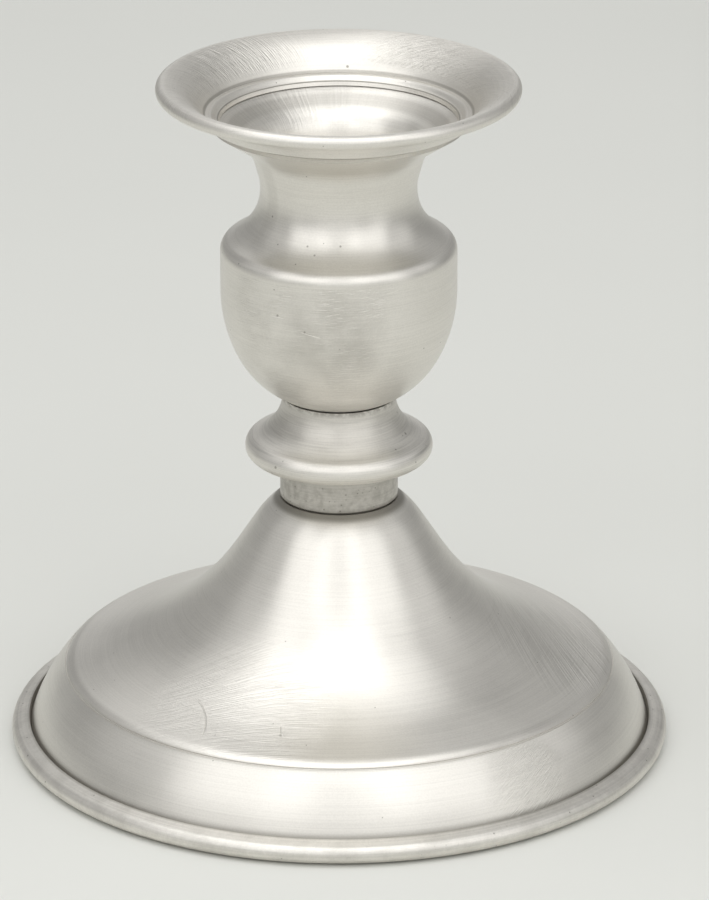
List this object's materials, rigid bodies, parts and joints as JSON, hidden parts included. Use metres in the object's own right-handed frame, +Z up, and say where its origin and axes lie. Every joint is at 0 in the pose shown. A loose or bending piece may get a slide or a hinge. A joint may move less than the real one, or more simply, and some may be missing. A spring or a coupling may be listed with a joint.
{
  "type": "candlestick",
  "caption": "Low pewter table candlestick: weighted round stepped foot, knopped stem, urn socket for a taper candle and a lift-off flared drip pan.",
  "frame": {"origin": "centre of the felt pad's underside, on the surface that the candlestick stands on", "axes": "+Z up along the stem and out of the candle socket; X and Y across the round foot"},
  "size_m": [0.106, 0.106, 0.1102],
  "materials": {
    "pewter": "satin brushed pewter",
    "steel": "plain steel",
    "cement": "cast, rough",
    "felt": "felt"
  },
  "bodies": {
    "stand": {"felt_pad": "felt", "closing_plate": "pewter", "ballast": "cement", "base_dome": "pewter", "dome_washer": "steel", "lock_washer": "steel", "tie_nut": "steel", "tie_bolt": "steel", "knop_collar": "pewter", "bowl_washer": "steel", "urn_bowl": "pewter", "urn_neck": "pewter", "candle_cup": "pewter"},
    "pan": {"drip_pan": "pewter"}
  },
  "joints": [
    {"name": "pan_lift", "type": "slide", "parent": "stand", "child": "pan", "axis": [0, 0, 1], "range_m": [0, 0.03]}
  ]
}
